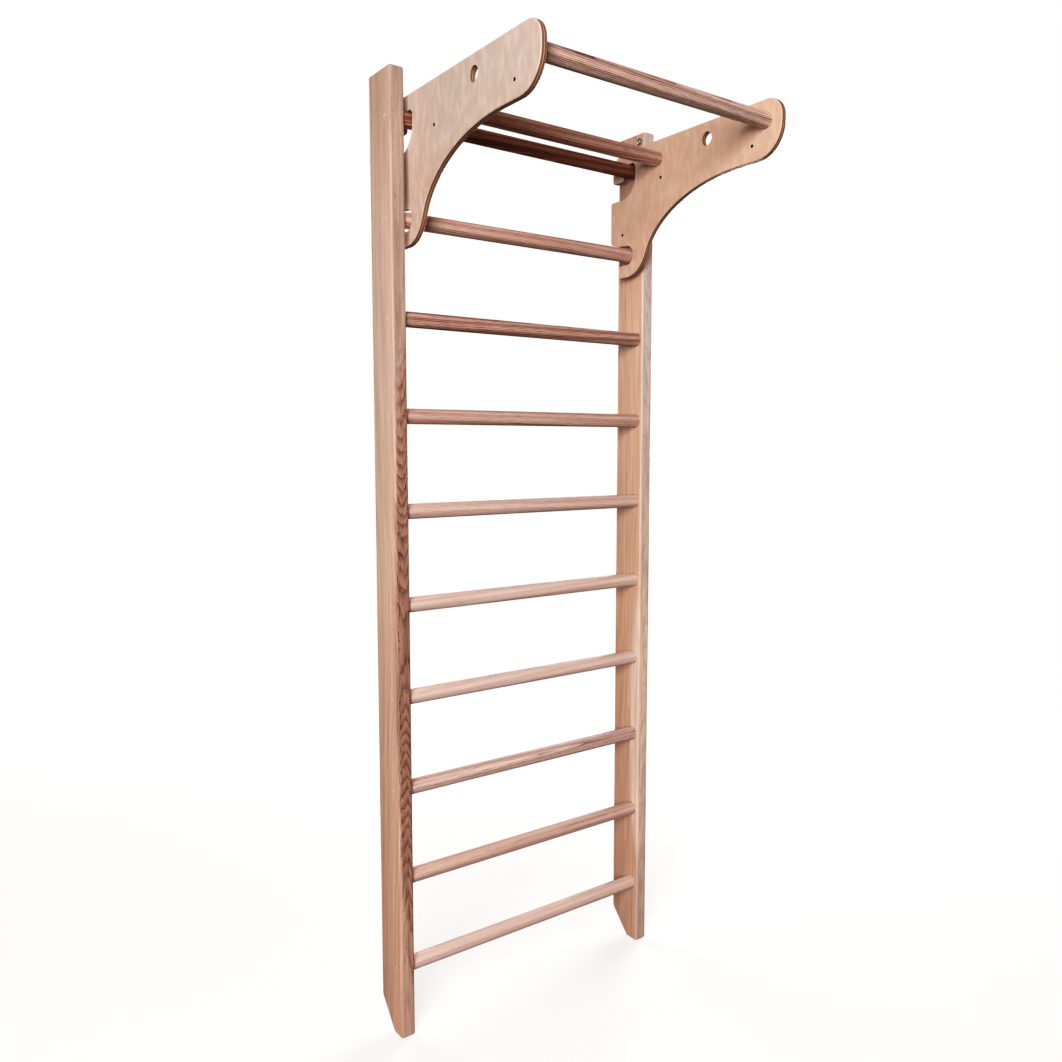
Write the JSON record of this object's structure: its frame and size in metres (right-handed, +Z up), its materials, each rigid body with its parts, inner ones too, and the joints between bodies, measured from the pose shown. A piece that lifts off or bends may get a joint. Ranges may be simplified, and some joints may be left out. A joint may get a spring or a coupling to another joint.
{
  "type": "wall bars",
  "caption": "Wooden wall ladder of round rungs between two plank posts, with a plywood pull-up frame hooked over its top rungs.",
  "frame": {"origin": "on the wall plane at floor level, midway between the two posts", "axes": "+X to the right seen from the room, +Y into the wall, +Z up"},
  "size_m": [0.774, 0.571, 2.2],
  "materials": {
    "post_wood": "clear satin varnish on pale planed hardwood",
    "rung_wood": "clear satin varnish on turned ash, a little pinker than the posts",
    "pin_wood": "pale dowel, cut flush",
    "plywood": "clear satin varnish on birch-faced plywood with dark and pale layers at its edges",
    "steel": "zinc-plated steel"
  },
  "bodies": {
    "ladder": {"left_post": "post_wood", "right_post": "post_wood", "rung_1": "rung_wood", "rung_2": "rung_wood", "rung_3": "rung_wood", "rung_4": "rung_wood", "rung_5": "rung_wood", "rung_6": "rung_wood", "rung_7": "rung_wood", "rung_8": "rung_wood", "rung_9": "rung_wood", "rung_10": "rung_wood", "left_rung_pin_1": "pin_wood", "left_rung_pin_2": "pin_wood", "left_rung_pin_3": "pin_wood", "left_rung_pin_4": "pin_wood", "left_rung_pin_5": "pin_wood", "left_rung_pin_6": "pin_wood", "left_rung_pin_7": "pin_wood", "left_rung_pin_8": "pin_wood", "left_rung_pin_9": "pin_wood", "left_rung_pin_10": "pin_wood", "right_rung_pin_1": "pin_wood", "right_rung_pin_2": "pin_wood", "right_rung_pin_3": "pin_wood", "right_rung_pin_4": "pin_wood", "right_rung_pin_5": "pin_wood", "right_rung_pin_6": "pin_wood", "right_rung_pin_7": "pin_wood", "right_rung_pin_8": "pin_wood", "right_rung_pin_9": "pin_wood", "right_rung_pin_10": "pin_wood", "left_top_washer": "steel", "right_top_washer": "steel", "left_top_screw": "steel", "right_top_screw": "steel"},
    "pull_up_frame": {"left_bracket": "plywood", "right_bracket": "plywood", "front_bar": "rung_wood", "rear_bar": "rung_wood"}
  },
  "joints": [
    {"name": "frame_swing", "type": "hinge", "parent": "ladder", "child": "pull_up_frame", "pos_m": [0, -0.075, 2.1], "axis": [-1, 0, 0], "range_deg": [0, 90]}
  ]
}
